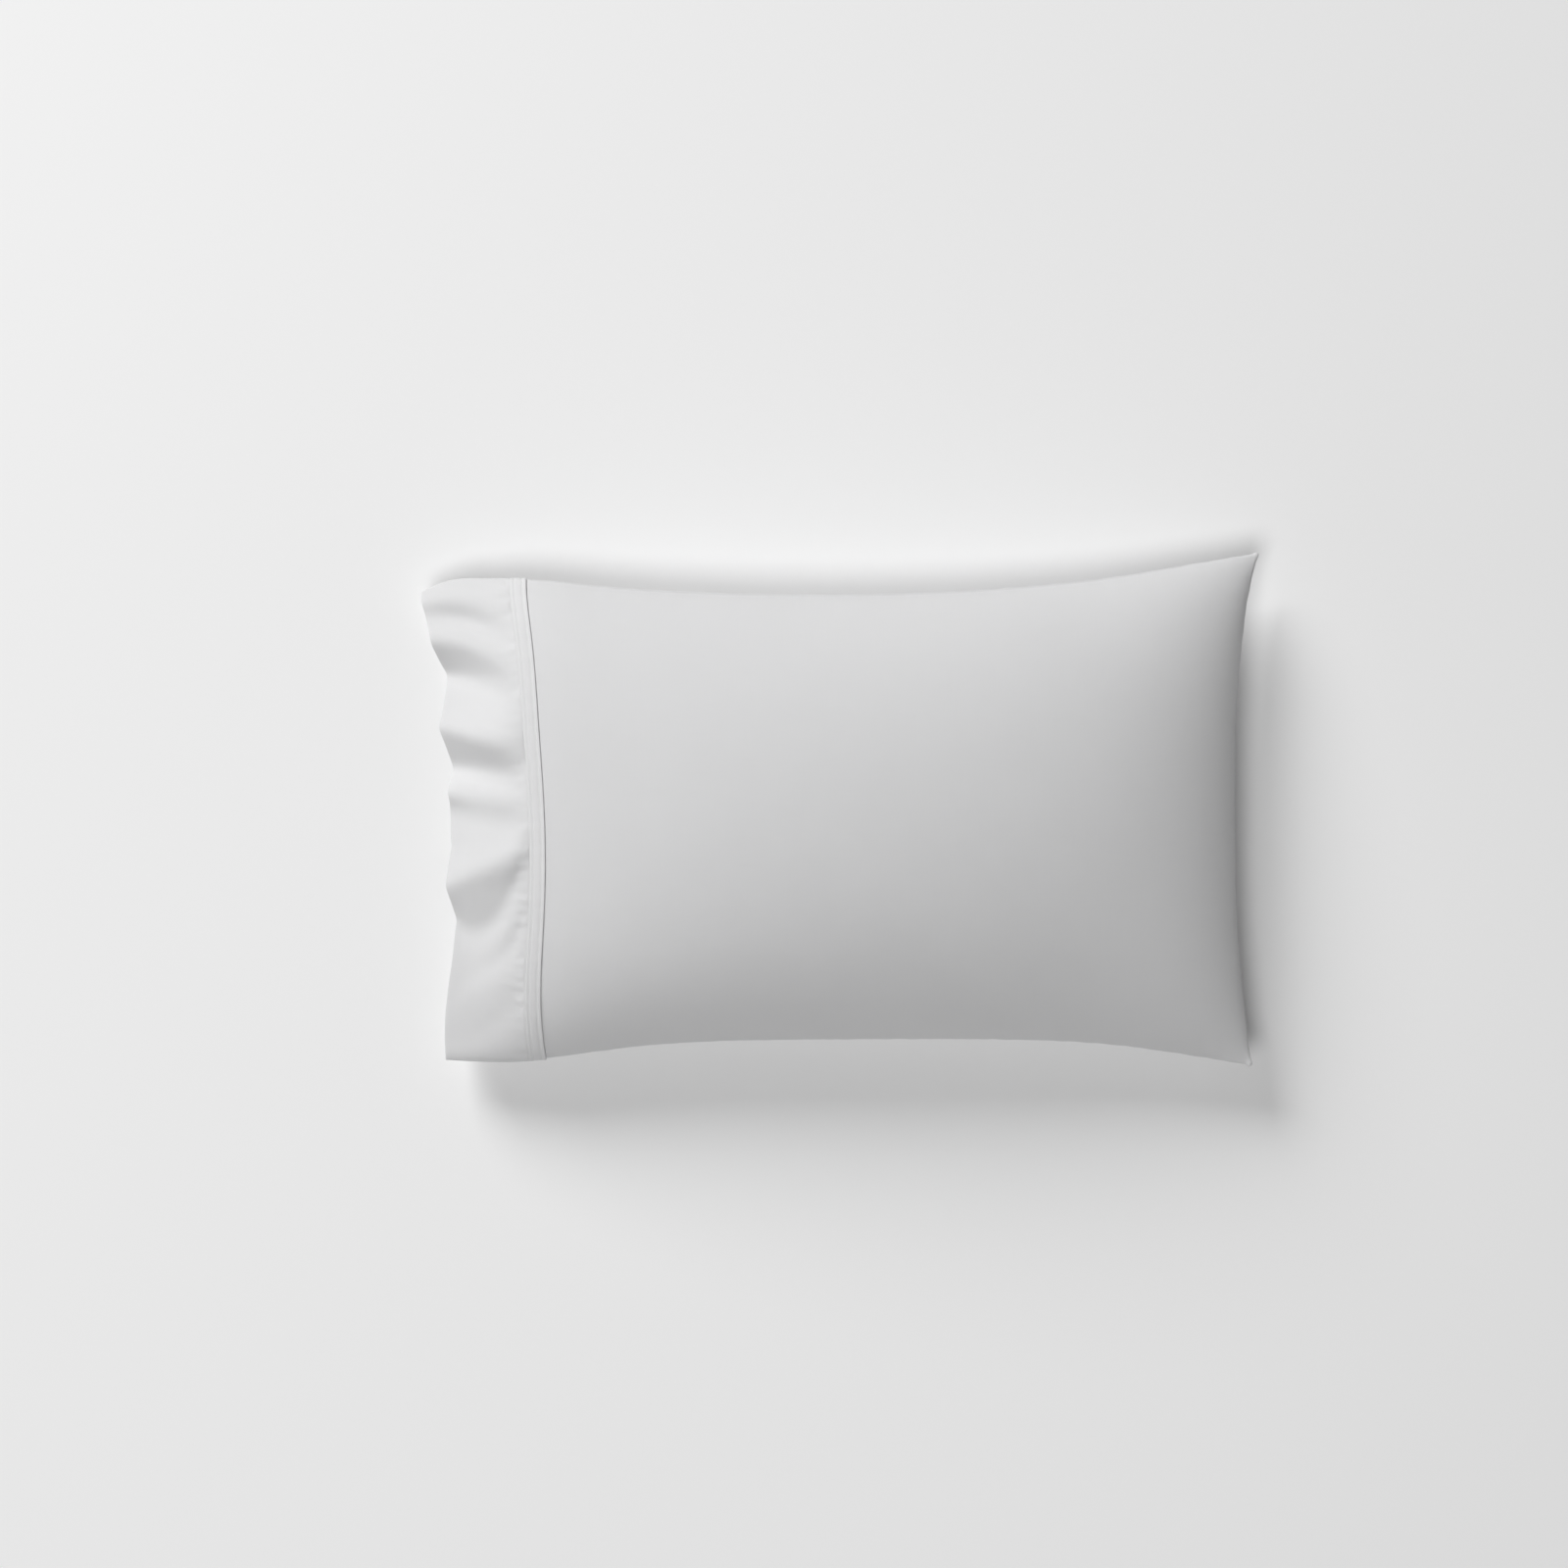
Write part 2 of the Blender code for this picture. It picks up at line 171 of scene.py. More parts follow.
def back_height(share, x, toward_end):
    """The height that the back would hang to with nothing under it."""
    depth = section["belly"](x) * (1 - toward_end**END_SHARPNESS) ** END_POWER
    shape = crown_shape(share, BELLY_BOXY, BELLY_POWER)
    return middle_height(share, x, toward_end) - SEAM_ROLL - depth * shape


def case_surface(share, x, toward_end, under_cuff, front):
    """Points of the filled case, a little smaller where the cuff lies round it (under_cuff is 1)."""
    if front:
        z = front_height(share, x, toward_end)
    else:
        z = resting(back_height(share, x, toward_end), UNDER_CASE * under_cuff)
    return np.stack([x, edge_y(share * (1 - DRAWN_IN * under_cuff), x), z], -1)


def stitched_edge(share, front):
    """Where along X the cuff's stitched edge is."""
    return across["cuff_front" if front else "cuff_back"](share)


def open_case_surface(share, toward_end, front):
    """Points of the case in the open, from the cuff's stitched edge (0) to the closed end (1)."""
    start = stitched_edge(share, front)
    x = start + (across["closed_end"](share) - SEAM_ROLL - start) * toward_end
    return case_surface(share, x, toward_end, max(1 - toward_end / CUFF_LEFT, 0), front)


def tucked_case_surface(share, into_case, front):
    """Points of the case under the cuff, from where its cloth ends (0) to the cuff's stitched edge (1)."""
    x = stitched_edge(share, front) - TUCK_DEPTH * (1 - into_case)
    return case_surface(share, x, 0, 1, front)


def inner_end_surface(share, past_tuck, front):
    """Points of the pillow's end inside the cuff, rounding off from where the case's cloth ends (0) to 1."""
    reach = INNER_END_REACH * np.sqrt(np.maximum(1 - share**INNER_END_BLUNTNESS, 0))
    x = stitched_edge(share, front) - TUCK_DEPTH - reach * past_tuck
    middle = middle_height(share, x, 0)
    height = front_height if front else back_height
    round_off = np.sqrt(1 - INNER_END_ROUNDING * past_tuck)
    z = middle + (height(share, x, 0) - middle) * round_off
    if not front:
        z = resting(z, UNDER_CASE)
    inset = (1 - DRAWN_IN) * (1 - INNER_END_INSET * past_tuck)
    return np.stack([x, edge_y(share * inset, x), z], -1)


def shares(count, crowding):
    """Places across the case, closer together toward its long edges."""
    even = np.linspace(-1, 1, count + 1)
    return (1 - crowding) * even + crowding * np.sin(even * np.pi / 2)


def ring(front_points, back_points):
    """One closed loop round the case: the front toward +Y, that edge, the back toward -Y, and that edge."""
    turns = (np.pi / 2 - np.pi * np.arange(1, SIDE_STEPS) / SIDE_STEPS)[:, None]

    def turned_edge(front_point, back_point, outward):
        radius = (front_point[2] - back_point[2]) / 2
        around = [0, outward * radius, 0] * np.cos(turns) + [0, 0, radius] * np.sin(turns)
        return (front_point + back_point) / 2 + around

    plus_edge = turned_edge(front_points[-1], back_points[-1], 1)
    minus_edge = turned_edge(front_points[0], back_points[0], -1)
    return np.concatenate([front_points, plus_edge, back_points[::-1], minus_edge[::-1]])


def rounded_rings(front_points, back_points, outward):
    """Rings that carry the front round to the back over the end of the case, from its tip inwards."""
    middle = (front_points + back_points) / 2
    apart = (front_points - back_points) / 2
    bulge = np.linalg.norm(apart, axis=-1, keepdims=True) * [outward, 0, 0]
    turns = np.linspace(np.pi / 2, 0, END_STEPS, endpoint=False)
    bulges = [middle + bulge * np.sin(turn) for turn in turns]
    return [ring(b + apart * np.cos(turn), b - apart * np.cos(turn)) for b, turn in zip(bulges, turns)]


def cloth_lengths(points, axis, closed=False):
    """How far along the cloth each point is, in metres, from the first one on its line."""
    after = np.roll(points, -1, axis) if closed else np.delete(points, 0, axis)
    before = points if closed else np.delete(points, -1, axis)
    steps = np.linalg.norm(after - before, axis=-1) * MM
    start = np.zeros_like(np.take(steps, [0], axis))
    return np.cumsum(np.concatenate([start, steps], axis), axis)


def cloth_object(name, points, material):
    """An object from rings of points in millimetres, with the cloth's own lengths as its UV map."""
    rings, size = points.shape[:2]
    middle = rings // 2
    along = np.median(cloth_lengths(points, 0), axis=1)
    around = cloth_lengths(points[middle][None], 1, closed=True)[0]
    near = np.arange(rings - 1)[:, None] * size
    here = np.arange(size)
    after = (here + 1) % size
    quads = np.stack([near + here, near + after, near + size + after, near + size + here], -1)
    mesh = bpy.data.meshes.new(name)
    mesh.from_pydata((points.reshape(-1, 3) * MM).tolist(), [], quads.reshape(-1, 4).tolist())
    u = np.stack([along[:-1], along[:-1], along[1:], along[1:]], -1)[:, None, :]
    v = np.stack([around[:-1], around[1:], around[1:], around[:-1]], -1)[None, :, :]
    uv = np.stack(np.broadcast_arrays(u, v), -1)
    mesh.uv_layers.new(name="cloth").data.foreach_set("uv", uv.astype(np.float32).ravel())
    mesh.materials.append(material)
    obj = bpy.data.objects.new(name, mesh)
    bpy.context.scene.collection.objects.link(obj)
    return obj


WELD = 1e-7  # in metres


def clean(obj):
    """Merges the points that meet, turns every face outwards and shades the mesh smooth."""
    work = bmesh.new()
    work.from_mesh(obj.data)
    bmesh.ops.remove_doubles(work, verts=work.verts, dist=WELD)
    bmesh.ops.dissolve_degenerate(work, edges=work.edges, dist=WELD)
    bmesh.ops.recalc_face_normals(work, faces=work.faces)
    work.to_mesh(obj.data)
    work.free()
    obj.data.shade_smooth()


class Shade:
    """One socket of a node tree. Arithmetic on it adds Math nodes."""

    def __init__(self, tree, socket=None):
        self.tree = tree
        self.socket = socket

    def node(self, kind, settings, inputs, out=0):
        """A node of any kind: its settings come first, then its sockets' values or links."""
        made = self.tree.nodes.new(kind)
        for name, value in settings.items():
            setattr(made, name, value)
        for name, value in inputs.items():
            if isinstance(value, Shade):
                self.tree.links.new(value.socket, made.inputs[name])
            else:
                made.inputs[name].default_value = value
        return Shade(self.tree, made.outputs[out])

    def math(self, operation, *values):
        return self.node("ShaderNodeMath", {"operation": operation}, dict(enumerate(values)))

    def __add__(self, other):
        return self.math("ADD", self, other)

    __radd__ = __add__

    def __mul__(self, other):
        return self.math("MULTIPLY", self, other)

    __rmul__ = __mul__

    def __rsub__(self, other):
        return self.math("SUBTRACT", other, self)

    def __abs__(self):
        return self.math("ABSOLUTE", self)


def blend(share, first, second):
    """A colour this share of the way from the first to the second."""
    colors = {0: share, 6: (*first, 1), 7: (*second, 1)}
    return share.node("ShaderNodeMix", {"data_type": "RGBA"}, colors, 2)


THREAD_PITCH = 0.00026  # the weave's sizes are in metres
THREAD_HEIGHT = 0.00004
SLUB_WIDTH = 0.0009  # a slub is a stretch where a thread is thicker
SLUB_LENGTH = 0.05
SLUB_HEIGHT = 0.00003
MOTTLE_SIZE = 0.08
MOTTLE_DETAIL = 2.0
MOTTLE_TINT = 0.5  # how far the mottle and the slubs each take the cloth from its dull tint to its bright one
SLUB_TINT = 0.25
COTTON_ROUGHNESS = 0.8
MOTTLE_ROUGHNESS = 0.1
COTTON_SPECULAR = 0.2
COTTON_SHEEN = 0.2
COTTON_SHEEN_ROUGHNESS = 0.5


def percale(name, dull, bright):
    """Plain-woven cotton: even threads over and under each other, and here and there a thicker one."""
    material = bpy.data.materials.new(name)
    material.use_nodes = True
    tree = material.node_tree
    surface = tree.nodes["Principled BSDF"]
    surface.inputs["Metallic"].default_value = 0
    surface.inputs["Specular IOR Level"].default_value = COTTON_SPECULAR
    surface.inputs["Sheen Weight"].default_value = COTTON_SHEEN
    surface.inputs["Sheen Roughness"].default_value = COTTON_SHEEN_ROUGHNESS
    cloth = Shade(tree).node("ShaderNodeUVMap", {"uv_map": "cloth"}, {})

    def unevenness(length, width):
        cells = {0: cloth, 1: (1 / length, 1 / width, 0)}
        place = cloth.node("ShaderNodeVectorMath", {"operation": "MULTIPLY"}, cells)
        plane = {"noise_dimensions": "2D"}
        lumps = {"Vector": place, "Scale": 1.0, "Detail": MOTTLE_DETAIL}
        return cloth.node("ShaderNodeTexNoise", plane, lumps)

    def thread_wave(axis):
        place = cloth.node("ShaderNodeSeparateXYZ", {}, {0: cloth}, axis)
        return cloth.math("SINE", place * (np.pi / THREAD_PITCH))

    warp = thread_wave("Y")
    weft = thread_wave("X")
    over = warp * weft
    weave = cloth.math("MAXIMUM", abs(warp) * (1 + over), abs(weft) * (1 - over))
    slubs = unevenness(SLUB_LENGTH, SLUB_WIDTH) + unevenness(SLUB_WIDTH, SLUB_LENGTH)
    height = weave * THREAD_HEIGHT + slubs * SLUB_HEIGHT
    bump = cloth.node("ShaderNodeBump", {}, {"Height": height, "Distance": 1.0, "Strength": 1.0})
    mottle = unevenness(MOTTLE_SIZE, MOTTLE_SIZE)
    color = blend(mottle * MOTTLE_TINT + slubs * SLUB_TINT, dull, bright)
    rough = mottle * MOTTLE_ROUGHNESS + COTTON_ROUGHNESS
    tree.links.new(color.socket, surface.inputs["Base Color"])
    tree.links.new(rough.socket, surface.inputs["Roughness"])
    tree.links.new(bump.socket, surface.inputs["Normal"])
    return material


SEAM_BEAD = 0.25  # the turned-in seam allowance raises the cloth this much beside the seam
SEAM_BEAD_AT = 3.0  # how far from the seam
SEAM_BEAD_WIDTH = 1.3
PUCKER_HEIGHT = 0.3  # the little waves across the seam, where the stitching draws it in
PUCKER_REACH = 11.0  # how far from the seam they die out
PUCKER_LENGTH = 13.0  # along the seam
SIDE_PUCKERS = 3.0  # another number here gives other waves
END_PUCKERS = 7.0
CORNER_BULK = 1.2  # the seam allowances folded into each closed corner make its tip blunt
CORNER_SIZE = 4.5
CUFF_CLEAR = 25.0  # this far past the cuff's stitched edge the relief has its full height
GROOVE_DEPTH = 0.25  # the sewing draws the case in, right beside the cuff's stitched edge
GROOVE_AT = 0.2
GROOVE_WIDTH = 0.6
GROOVE_SPAN = 4.0  # this much of the case beside the stitched edge gets fine steps
GROOVE_STEPS = 11
TUCKED_STEPS = (0.0, 0.4, 0.75, 0.87, 0.94)  # shares of the way to the stitched edge, under the cuff
NOISE_GAIN = 2  # the noise itself stays mostly within half of 1
SHORTEST = 1e-9  # keeps a direction of no length from being divided by nothing
CASE_DULL = (0.74, 0.74, 0.745)
CASE_BRIGHT = (0.78, 0.78, 0.785)

case_across = shares(CASE_STEPS, EDGE_CROWDING)


def both_sides(surface, along):
    """The front's and the back's points at one place along the case."""
    return surface(case_across, along, True), surface(case_across, along, False)


case_rings = rounded_rings(*both_sides(inner_end_surface, 1.0), -1)
for past in np.linspace(1, 0, INNER_END_STEPS, endpoint=False):
    case_rings.append(ring(*both_sides(inner_end_surface, past)))
for into_case in TUCKED_STEPS:
    case_rings.append(ring(*both_sides(tucked_case_surface, into_case)))
fine_share = GROOVE_SPAN / OPEN_LENGTH
fine_steps = np.linspace(0, fine_share, GROOVE_STEPS, endpoint=False)
open_steps = np.sin(np.linspace(np.arcsin(fine_share), np.pi / 2, OPEN_STEPS + 1))
for toward_end in (*fine_steps, *open_steps):
    case_rings.append(ring(*both_sides(open_case_surface, toward_end)))
case_rings += rounded_rings(*both_sides(open_case_surface, 1.0), 1)[::-1]
case_points = np.stack(case_rings)


def unit(vectors):
    """The same directions, each with a length of one."""
    return vectors / np.maximum(np.linalg.norm(vectors, axis=-1, keepdims=True), SHORTEST)


def cloth_directions(points, heading):
    """The directions along and out of the cloth, whose rings go toward +X (heading 1) or -X (-1)."""
    along = np.gradient(points, axis=0)
    around = np.roll(points, -1, 1) - np.roll(points, 1, 1)
    return unit(along), unit(np.cross(along, around) * heading)


def soft_noise(x, y, size, seed):
    """Smooth unevenness between about -1 and 1, with lumps of this size in millimetres."""
    places = np.stack(np.broadcast_arrays(x / size, y / size, seed), -1)
    lumps = [noise.noise(Vector(place)) for place in places.reshape(-1, 3)]
    return NOISE_GAIN * np.reshape(lumps, places.shape[:-1])


def seam_relief(points):
    """How far the seams' turned-in edges and puckers lift the case's cloth."""
    x, y = points[..., 0], points[..., 1]
    from_tip = cloth_lengths(points[::-1], 0)[::-1] / MM
    around = cloth_lengths(points, 1, closed=True) / MM
    plus_seam = CASE_STEPS + SIDE_STEPS // 2
    to_plus = np.abs(around[:, :-1] - around[:, plus_seam, None])
    to_minus = np.abs(around[:, :-1] - around[:, -1 - SIDE_STEPS // 2, None])
    girth = around[:, -1:]
    to_side = np.minimum(np.minimum(to_plus, girth - to_plus), np.minimum(to_minus, girth - to_minus))
    relief = np.zeros(points.shape[:2])
    for distance, place, seed in ((to_side, x, SIDE_PUCKERS), (from_tip, y, END_PUCKERS)):
        bead = SEAM_BEAD * np.exp(-(((distance - SEAM_BEAD_AT) / SEAM_BEAD_WIDTH) ** 2))
        waves = soft_noise(place, 0.0, PUCKER_LENGTH, seed)
        relief += bead + PUCKER_HEIGHT * waves * np.exp(-distance / PUCKER_REACH)
    for corner in (-1, 1):
        tip_x = across["closed_end"](corner)
        to_tip = np.hypot(x - tip_x, y - edge_y(corner, tip_x))
        relief += CORNER_BULK * np.exp(-((to_tip / CORNER_SIZE) ** 2))
    front = np.arange(points.shape[1]) <= CASE_STEPS
    share = (y - edge_y(0, x)) / (edge_y(1, x) - edge_y(0, x))
    past_cuff = x - np.where(front, stitched_edge(share, True), stitched_edge(share, False))
    groove = GROOVE_DEPTH * np.exp(-(((past_cuff - GROOVE_AT) / GROOVE_WIDTH) ** 2))
    return relief * np.clip(past_cuff / CUFF_CLEAR, 0, 1) - groove


_, case_out = cloth_directions(case_points, 1)
case_points += case_out * seam_relief(case_points)[..., None]
case_points[..., 2] = np.maximum(case_points[..., 2], 0)

case_cotton = percale("case_cotton", CASE_DULL, CASE_BRIGHT)
case = cloth_object("case_cloth", case_points, case_cotton)
clean(case)
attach(case, "root")
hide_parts("filled_case")

# ---- The cuff ------------------------------------------------------------------------------------------
# A band of the same percale, cut on its own and folded double lengthwise: the fold is the hem, and its two
# raw edges are turned in and sewn over the case's edge. Past the filling it is an open sleeve, which keeps
# the ripples of its folding and washing.

# A row for each crest and trough, from the -Y corner to the +Y corner: its place across at the hem, halfway
# and beside the rows of stitching, and how far it stands over or under the smooth sleeve at each.
Fold = namedtuple("Fold", "hem_y middle_y rows_y hem middle rows")
FRONT_FOLDS = (
    Fold(hem_y=-243, middle_y=-243, rows_y=-243, hem=0, middle=0, rows=0),
    Fold(hem_y=-226, middle_y=-214, rows_y=-184, hem=-2, middle=-4, rows=-2),
    Fold(hem_y=-200, middle_y=-168, rows_y=-157, hem=-3, middle=-3, rows=0),
    Fold(hem_y=-160, middle_y=-150, rows_y=-118, hem=-4, middle=-6, rows=-2),
    Fold(hem_y=-130, middle_y=-133, rows_y=-97, hem=-6, middle=-5, rows=1),
    Fold(hem_y=-108, middle_y=-109, rows_y=-62, hem=-9, middle=-8, rows=0),
    Fold(hem_y=-76, middle_y=-56, rows_y=-44, hem=11, middle=14, rows=6),
    Fold(hem_y=-37, middle_y=-33, rows_y=-20, hem=3, middle=6, rows=0),
    Fold(hem_y=0, middle_y=-9, rows_y=-10, hem=-2, middle=-1, rows=-2),
    Fold(hem_y=16, middle_y=11, rows_y=3, hem=8, middle=4, rows=1),
    Fold(hem_y=40, middle_y=36, rows_y=31, hem=-13, middle=-10, rows=-4),
    Fold(hem_y=79, middle_y=69, rows_y=60, hem=12, middle=15, rows=5),
    Fold(hem_y=105, middle_y=97, rows_y=85, hem=-3, middle=-4, rows=1),
    Fold(hem_y=133, middle_y=124, rows_y=114, hem=-18, middle=-14, rows=-3),
    Fold(hem_y=164, middle_y=158, rows_y=138, hem=9, middle=6, rows=1),
    Fold(hem_y=189, middle_y=183, rows_y=172, hem=-2, middle=-8, rows=-3),
    Fold(hem_y=205, middle_y=202, rows_y=190, hem=4, middle=5, rows=2),
    Fold(hem_y=212, middle_y=224, rows_y=225, hem=0, middle=0, rows=0),
)
BACK_FOLDS = (
    Fold(hem_y=-243, middle_y=-243, rows_y=-243, hem=0, middle=0, rows=0),
    Fold(hem_y=-190, middle_y=-185, rows_y=-181, hem=-4, middle=-2.5, rows=-0.8),
    Fold(hem_y=-128, middle_y=-122, rows_y=-114, hem=8, middle=5, rows=1.5),
    Fold(hem_y=-70, middle_y=-68, rows_y=-65, hem=-5, middle=-3, rows=-1),
    Fold(hem_y=4, middle_y=-1, rows_y=-7, hem=9, middle=6, rows=1.5),
    Fold(hem_y=62, middle_y=60, rows_y=58, hem=-5, middle=-3, rows=-1),
    Fold(hem_y=118, middle_y=109, rows_y=100, hem=7, middle=4.5, rows=1.2),
    Fold(hem_y=172, middle_y=166, rows_y=161, hem=-4, middle=-2.5, rows=-0.8),
    Fold(hem_y=212, middle_y=223, rows_y=225, hem=0, middle=0, rows=0),
)
# How far along X the hem reaches, at each place across where it turns.
Hem = namedtuple("Hem", "y x")
FRONT_HEM = (
    Hem(y=-243, x=-385.8),
    Hem(y=-222, x=-386.4),
    Hem(y=-200, x=-385.5),
    Hem(y=-174, x=-382.3),
    Hem(y=-146, x=-377.9),
    Hem(y=-118, x=-375.1),
    Hem(y=-107, x=-373.2),
    Hem(y=-87, x=-378.9),
    Hem(y=-75.5, x=-382.7),
    Hem(y=-54, x=-380.1),
    Hem(y=-36, x=-377.2),
    Hem(y=-28, x=-378.2),
    Hem(y=7, x=-379.3),
    Hem(y=16.5, x=-381.3),
    Hem(y=31, x=-378.4),
    Hem(y=39, x=-376.6),
    Hem(y=65, x=-384.5),
    Hem(y=80, x=-389.6),
    Hem(y=91, x=-387.7),
    Hem(y=116, x=-384.9),
    Hem(y=132, x=-384.3),
    Hem(y=146, x=-391.0),
    Hem(y=163, x=-397.6),
    Hem(y=177, x=-401.1),
    Hem(y=206, x=-407.8),
    Hem(y=212, x=-409.6),
)
BACK_HEM = (
    Hem(y=-243, x=-385.8),
    Hem(y=-190, x=-380.0),
    Hem(y=-128, x=-371.0),
    Hem(y=-70, x=-374.0),
    Hem(y=4, x=-373.0),
    Hem(y=62, x=-375.0),
    Hem(y=118, x=-380.0),
    Hem(y=172, x=-392.0),
    Hem(y=212, x=-409.6),
)
HEM_CORNER_X = -385.4  # where the hem's places across are measured
HEM_ROUNDING = 4.0  # how far to each side of its turns
FOLD_START = 0.16  # the folds die out at the rows of stitching, this share of the way to the hem
FOLD_ROWS = 0.25  # where the tables' rows and middle values hold, as shares of that way
FOLD_MIDDLE = 0.58
FOLD_EDGE_POWER = 20  # how near the side seams the folds are still deep
CREASE_AT_ROWS = 18.0  # how far to each side a crease is rounded
CREASE_AT_HEM = 11.0
ROUNDING_STEPS = 9

CLOTH = 0.3  # one layer
OUTER_LAYER = 1.15  # from the case to the middle of the outer layer
INNER_LAYER = 0.45
TURN_STEPS = 6  # round the fold at the hem, and round the turned edge
HEM_BACK = 0.5  # the fold at the hem is as thick as both layers, so it starts this much before it
STITCH_ROWS = (3.6, 11.9, 15.7)  # from the stitched edge
STITCH_PULL = 0.5  # how deep the thread draws the cloth in
STITCH_PULL_WIDTH = 0.9
LAYERS_APART = 0.36  # the two layers' middles, where the thread holds them together
EDGE_BEAD = 0.1  # the turned-in cloth makes the stitched edge thicker
EDGE_BEAD_AT = 1.2
EDGE_BEAD_WIDTH = 1.2
GATHER_HEIGHT = 0.8  # where the outer row's thread draws both layers up into little waves
GATHER_WIDTH = 7.5
GATHER_START = 4.0  # how far past that row they have their full height
GATHER_REACH = 9.0  # and how far past it they die out
GATHER_BETWEEN_ROWS = 0.15  # what is left of them between the rows
GATHER_WAVES = 11.0  # another number here gives other waves
USUAL_DEPTH = 98.0  # from the stitched edge to the hem
NEAR_ROWS = 20.0 / USUAL_DEPTH  # the share of it beside the stitched edge that gets the fine steps
NEAR_STEPS = 30
FAR_STEPS = 28
INNER_START = 1.5  # where the inner layer's turned-in edge is
NEAR_INNER_STEPS = 8
INNER_STEPS = 24
CUFF_FRONT_STEPS = 280
CUFF_BACK_STEPS = 132
CUFF_CROWDING = 0.5
CUFF_DULL = (0.755, 0.755, 0.76)
CUFF_BRIGHT = (0.795, 0.795, 0.8)


def creased(x, xs, ys, rounding):
    """Straight runs from point to point, with the turns between them rounded this far to each side."""
    places = np.linspace(-1, 1, ROUNDING_STEPS + 2)[1:-1]
    weights = 1 - places**2
    runs = [np.interp(x + rounding * place, xs, ys) for place in places]
    return np.average(runs, axis=0, weights=weights)


def fold_rise(y, toward_hem, folds):
    """How far the ripples lift the cuff at one distance from its stitched edge."""
    stations = (FOLD_ROWS, FOLD_MIDDLE, 1.0)
    lines = [np.polyfit(stations, (fold.rows_y, fold.middle_y, fold.hem_y), 2) for fold in folds]
    places = [np.polyval(line, max(toward_hem, FOLD_ROWS)) for line in lines]
    depths = (FOLD_START, *stations)
    rises = [spline(depths, (0, fold.rows, fold.middle, fold.hem))(toward_hem) for fold in folds]
    rounding = CREASE_AT_HEM + (CREASE_AT_ROWS - CREASE_AT_HEM) * (1 - toward_hem)
    return creased(y, places, rises, rounding)


def cuff_surface(share, toward_hem, front):
    """Points of the cuff's cloth, from its stitched edge (0) to its hem (1), at one distance along it."""
    folds, hem_rows = (FRONT_FOLDS, FRONT_HEM) if front else (BACK_FOLDS, BACK_HEM)
    start = stitched_edge(share, front)
    hem_y = edge_y(share, HEM_CORNER_X)
    hem = creased(hem_y, [row.y for row in hem_rows], [row.x for row in hem_rows], HEM_ROUNDING)
    x = start + (hem + HEM_BACK - start) * toward_hem
    y = edge_y(share, x)
    lift = fold_rise(y, toward_hem, folds) * (1 - share**FOLD_EDGE_POWER)
    if front:
        z = front_height(share, x, 0) + lift
    else:
        z = resting(back_height(share, x, 0) + lift, UNDER_CASE)
    return np.stack([x, y, z], -1)


cuff_front = shares(CUFF_FRONT_STEPS, CUFF_CROWDING)
cuff_back = shares(CUFF_BACK_STEPS, CUFF_CROWDING)


def sleeve(start, near_steps, far_steps):
    """The rippled sleeve that a layer follows from this far along it, and its directions along and out."""
    near = np.linspace(start / USUAL_DEPTH, NEAR_ROWS, near_steps, endpoint=False)
    far = np.linspace(NEAR_ROWS, 1, far_steps + 1)
    rings = [
        ring(cuff_surface(cuff_front, toward_hem, True), cuff_surface(cuff_back, toward_hem, False))
        for toward_hem in (*near, *far)
    ]
    points = np.stack(rings)
    return points, *cloth_directions(points, -1)


def gathered(points, out, start):
    """The sleeve's points with the outer row's gathers, where its first ring is this far from the edge."""
    past_rows = np.maximum(start + cloth_lengths(points, 0) / MM - STITCH_ROWS[-1], 0)
    grown = np.maximum(np.minimum(past_rows / GATHER_START, 1), GATHER_BETWEEN_ROWS)
    waves = soft_noise(points[..., 1], points[..., 2], GATHER_WIDTH, GATHER_WAVES)
    return points + out * (GATHER_HEIGHT * waves * grown * np.exp(-past_rows / GATHER_REACH))[..., None]


def stitched_relief(points):
    """The bead along the outer layer's turned edge, less what the rows of stitching draw in."""
    from_edge = cloth_lengths(points, 0) / MM
    pulled = sum(np.exp(-(((from_edge - row) / STITCH_PULL_WIDTH) ** 2)) for row in STITCH_ROWS)
    bead = EDGE_BEAD * np.exp(-(((from_edge - EDGE_BEAD_AT) / EDGE_BEAD_WIDTH) ** 2))
    return bead - STITCH_PULL * pulled


outer_base, outer_run, outer_out = sleeve(0, NEAR_STEPS, FAR_STEPS)
inner_base, _, inner_out = sleeve(INNER_START, NEAR_INNER_STEPS, INNER_STEPS)
outer_lift = np.maximum(OUTER_LAYER + stitched_relief(outer_base), INNER_LAYER + LAYERS_APART)
outer_base = gathered(outer_base, outer_out, 0)
inner_base = gathered(inner_base, inner_out, INNER_START)
outer_points = outer_base + outer_out * outer_lift[..., None]
inner_points = inner_base + inner_out * INNER_LAYER


def turned(ring_at, toward, stop):
    """Rings round the fold at one end of the outer layer, down toward the inner one, up to this step."""
    out = outer_out[ring_at]
    run = outer_run[ring_at] * toward
    radius = (outer_lift[ring_at][:, None] - INNER_LAYER) / 2
    centre = outer_base[ring_at] + out * (radius + INNER_LAYER)
    turns = np.linspace(0, np.pi, TURN_STEPS + 1)[1:stop]
    return [centre + radius * (np.cos(turn) * out + np.sin(turn) * run) for turn in turns]


hem_fold = turned(-1, 1, TURN_STEPS)
edge_fold = turned(0, -1, TURN_STEPS + 1)
cuff_points = np.stack([*edge_fold[::-1], *outer_points, *hem_fold, *inner_points[::-1]])

cuff_cotton = percale("cuff_cotton", CUFF_DULL, CUFF_BRIGHT)
cuff = cloth_object("cuff_cloth", cuff_points, cuff_cotton)
clean(cuff)
thickness = cuff.modifiers.new("cloth", "SOLIDIFY")
thickness.thickness = CLOTH * MM
thickness.offset = 0
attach(cuff, "root")
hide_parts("cuff")

